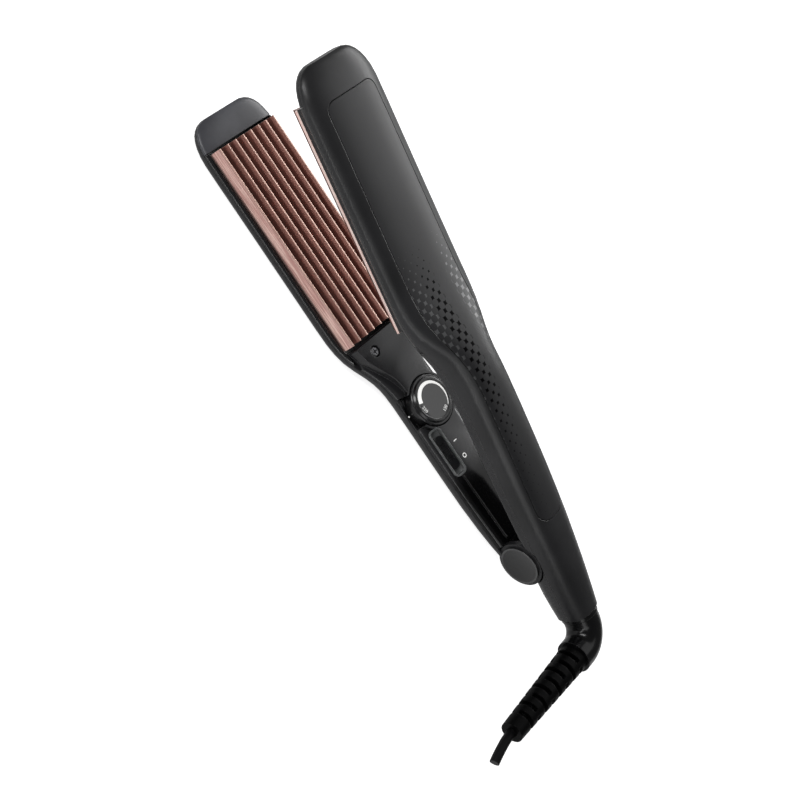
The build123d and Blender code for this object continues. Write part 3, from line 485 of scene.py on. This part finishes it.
def prism(name, outline, z0, z1):
    """closed prism over an outline of (x, y) points"""
    count = len(outline)
    verts = [(x, y, z) for z in (z0, z1) for x, y in outline]
    faces = [tuple(range(count - 1, -1, -1)), tuple(range(count, 2 * count))]
    faces += [(i, (i + 1) % count, count + (i + 1) % count, count + i) for i in range(count)]
    mesh_print(name, verts, faces, "lower_arm")


def band(name, centre, stations, z0, z1, body, closed):
    """flat curved band; stations are (angle, outer radius, inner radius)"""
    verts = [(centre[0] + radius * math.cos(angle), centre[1] + radius * math.sin(angle), z)
             for z in (z0, z1) for angle, *radii in stations for radius in radii]
    count = len(stations)
    top = 2 * count
    faces = []
    for i in range(count if closed else count - 1):
        a = 2 * i
        b = 2 * ((i + 1) % count)
        faces += [(a, a + 1, b + 1, b),
                  (top + b, top + b + 1, top + a + 1, top + a),
                  (a, b, top + b, top + a),
                  (a + 1, top + a + 1, top + b + 1, b + 1)]
    if not closed:
        end = top - 2
        faces += [(0, top, top + 1, 1), (end, end + 1, top + end + 1, top + end)]
    mesh_print(name, verts, faces, body)


DIAL_CENTRE_X = DIAL_X + HINGE_X
DIAL_PRINT_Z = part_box("temperature_dial")[1][2] - 0.00018
DIAL_PRINT_HALF = 0.00005              # half the thickness of the print


def dial_scale():
    """printed scale: wide at the hot end, tapering clockwise to a narrow end"""
    start, end = math.radians(74), math.radians(-138)
    steps = 72
    outer = 0.00938
    wide, narrow = 0.00215, 0.00030    # the width falls from wide + narrow to narrow
    stations = []
    for i in range(steps + 1):
        part = i / steps
        width = wide * (1 - part) ** 0.9 + narrow
        stations.append((start + (end - start) * part, outer, outer - width))
    band("dial_scale_print", (DIAL_CENTRE_X, 0.0), stations, DIAL_PRINT_Z - DIAL_PRINT_HALF,
         DIAL_PRINT_Z + DIAL_PRINT_HALF, "dial", closed=False)


def dial_number(name, text, degrees):
    """a number on the dial face, its baseline square to the radius"""
    radius = 0.0080
    angle = math.radians(degrees)
    curve = bpy.data.curves.new(name, "FONT")
    curve.body = text
    curve.size = 0.0024
    curve.align_x = "CENTER"
    curve.align_y = "CENTER"
    curve.extrude = DIAL_PRINT_HALF
    curve.resolution_u = 4
    lettering = bpy.data.objects.new(name, curve)
    scene.collection.objects.link(lettering)
    across = Vector((-math.sin(angle), math.cos(angle), 0)).normalized()
    up = Vector((0, 0, 1))
    placement = Matrix((across, up.cross(across), up)).transposed().to_4x4()
    placement.translation = (DIAL_CENTRE_X + radius * math.cos(angle),
                             radius * math.sin(angle), DIAL_PRINT_Z)
    bpy.context.view_layer.update()
    depsgraph = bpy.context.evaluated_depsgraph_get()
    mesh = bpy.data.meshes.new_from_object(lettering.evaluated_get(depsgraph))
    bpy.data.objects.remove(lettering)
    mesh.name = name
    mesh.transform(placement)
    welded = bmesh.new()
    welded.from_mesh(mesh)
    bmesh.ops.remove_doubles(welded, verts=welded.verts, dist=1e-7)
    bmesh.ops.recalc_face_normals(welded, faces=welded.faces)
    welded.to_mesh(mesh)
    welded.free()
    add_print(name, mesh, "dial")


def switch_and_pointer_marks():
    """bar and ring beside the switch, and the dot beside the dial"""
    face_z = -0.001 + HINGE_Z
    low, high = face_z - 0.00003, face_z + 0.00003
    bar_x, bar_y = 0.0677 + HINGE_X, 0.0018
    half_x, half_y = 0.00022, 0.0012
    corners = ((-1, -1), (1, -1), (1, 1), (-1, 1))
    prism("mark_on", [(bar_x + i * half_x, bar_y + j * half_y) for i, j in corners], low, high)

    dot_x, dot_y, dot_radius = 0.0905 + HINGE_X, 0.01395, 0.00042
    dot = [(dot_x + dot_radius * math.cos(i * math.pi / 12),
            dot_y + dot_radius * math.sin(i * math.pi / 12)) for i in range(24)]
    prism("dial_pointer", dot, HINGE_Z - 0.00543, HINGE_Z - 0.00535)

    sides, outer, inner = 40, 0.00122, 0.0008
    ring = [(2 * math.pi * i / sides, outer, inner) for i in range(sides)]
    band("mark_off", (0.0590 + HINGE_X, 0.0021), ring, low, high, "lower_arm", closed=True)


dial_scale()
dial_number("dial_number_hot", "220", degrees=98)
dial_number("dial_number_cool", "150", degrees=-156)
switch_and_pointer_marks()


# ---------------------------------------------------------------- camera
def add_camera():
    right = Vector((-0.55362689, -0.57528042, 0.602121))
    down = Vector((-0.81695108, 0.51542377, -0.25870693))
    forward = Vector((-0.16151844, -0.63513052, -0.75532842))
    data = bpy.data.cameras.new("camera")
    camera = bpy.data.objects.new("camera", data)
    scene.collection.objects.link(camera)
    pose = Matrix((right, -down, -forward)).transposed().to_4x4()
    pose.translation = from_hinge(0.221740, 0.492941, 0.565783)
    camera.matrix_world = pose
    data.sensor_width = 36.0
    data.lens = 71.3232
    data.clip_start = 0.01
    data.clip_end = 20.0
    scene.camera = camera


add_camera()


# ---------------------------------------------------------------- floor, world and lights
def floor_material():
    tree = Shader("floor_pale")
    cloud = tree.noise(scale=6.0, detail=3.0)
    shade = tree.mottle(cloud, low=(0.90, 0.90, 0.90, 1), high=(0.93, 0.93, 0.93, 1))
    tree.set(color=shade, rough=0.7, spec=0.1)
    # a glow that only the camera sees keeps the floor pale at this low light level
    glow = tree.node("ShaderNodeEmission")
    glow.inputs[0].default_value = (1.0, 1.0, 1.0, 1.0)
    seen = tree.node("ShaderNodeLightPath").outputs["Is Camera Ray"]
    tree.put(glow.inputs[1], tree.times(seen, by=0.72))
    both = tree.node("ShaderNodeAddShader")
    tree.link(tree.surface.outputs[0], both.inputs[0])
    tree.link(glow.outputs[0], both.inputs[1])
    tree.link(both.outputs[0], tree.output.inputs[0])
    return tree.material


def add_floor():
    half, z = 6.0, -0.0001
    mesh = bpy.data.meshes.new("floor")
    corners = [(-half, -half, z), (half, -half, z), (half, half, z), (-half, half, z)]
    mesh.from_pydata(corners, [], [(0, 1, 2, 3)])
    floor = bpy.data.objects.new("floor", mesh)
    scene.collection.objects.link(floor)
    mesh.materials.append(floor_material())


def add_world():
    """pale backdrop to the camera, soft fill to everything else"""
    fill, backdrop = 0.13, 0.95
    world = bpy.data.worlds.new("studio")
    scene.world = world
    world.use_nodes = True
    nodes, link = world.node_tree.nodes, world.node_tree.links.new
    background = nodes["Background"]
    background.inputs[0].default_value = (1.0, 1.0, 1.0, 1.0)
    path = nodes.new("ShaderNodeLightPath")
    level = nodes.new("ShaderNodeMapRange")
    link(path.outputs["Is Camera Ray"], level.inputs[0])
    level.inputs[3].default_value = fill
    level.inputs[4].default_value = backdrop
    link(level.outputs[0], background.inputs[1])


def area_light(name, place, target, width, height, power):
    data = bpy.data.lights.new(name, "AREA")
    data.shape = "RECTANGLE"
    data.size = width
    data.size_y = height
    data.energy = power
    light = bpy.data.objects.new(name, data)
    scene.collection.objects.link(light)
    light.location = from_hinge(*place)
    light.rotation_mode = "QUATERNION"
    aim = from_hinge(*target) - from_hinge(*place)
    light.rotation_quaternion = aim.to_track_quat("-Z", "Y")


add_floor()
add_world()
scene.view_settings.view_transform = "Standard"
scene.view_settings.look = "None"

MIDDLE = (0.11, 0.0, 0.02)
LIGHTS = [  # name, place and target from the hinge axis, width, height, power in watts
    ("key", (0.75, 0.55, 0.80), MIDDLE, 0.35, 0.7, 6.0),
    ("fill", (-0.50, 0.70, 0.60), MIDDLE, 0.5, 0.5, 1.4),
    ("rim", (0.15, -0.85, 0.40), MIDDLE, 0.9, 0.22, 5.0),
    ("over", (-0.09, -0.72, 0.86), (0.09, 0.0, 0.0), 0.9, 0.55, 1.3),
    ("side", (-0.05, 1.05, 0.42), MIDDLE, 1.1, 0.14, 2.4),
]
for light_row in LIGHTS:
    area_light(*light_row)
